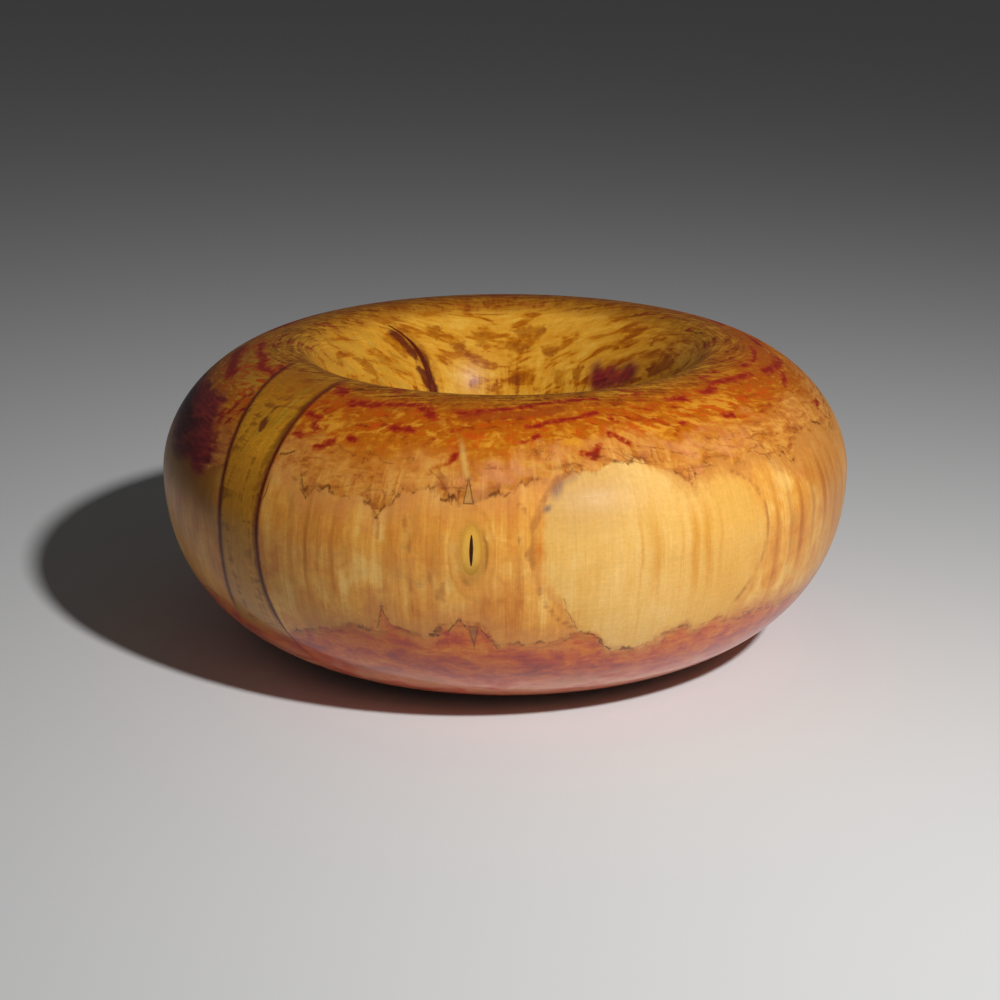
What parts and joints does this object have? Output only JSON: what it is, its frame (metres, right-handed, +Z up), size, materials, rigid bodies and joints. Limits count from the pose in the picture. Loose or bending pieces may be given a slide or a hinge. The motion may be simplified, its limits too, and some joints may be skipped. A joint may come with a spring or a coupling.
{
  "type": "turned wooden vessel",
  "caption": "Low ring-shaped hollow wooden vessel with a rolled-in rim that curls down to a narrow throat, turned from figured sapwood and heartwood.",
  "frame": {"origin": "middle of the foot, on the surface that the vessel stands on", "axes": "+Z up along the turning axis; the branch knot is on the -Y side"},
  "size_m": [0.4, 0.4, 0.172],
  "materials": {
    "turned_wood": "clear satin gloss over pale sapwood and red-orange heartwood",
    "knot_wood": "clear satin gloss",
    "check_filler": "dark filler polished flush"
  },
  "bodies": {
    "root": {"vessel_body": "turned_wood", "front_check_fill": "check_filler", "side_check_fill": "check_filler", "funnel_check_fill": "check_filler", "branch_knot": "knot_wood", "knot_slit_fill": "check_filler"}
  },
  "joints": []
}
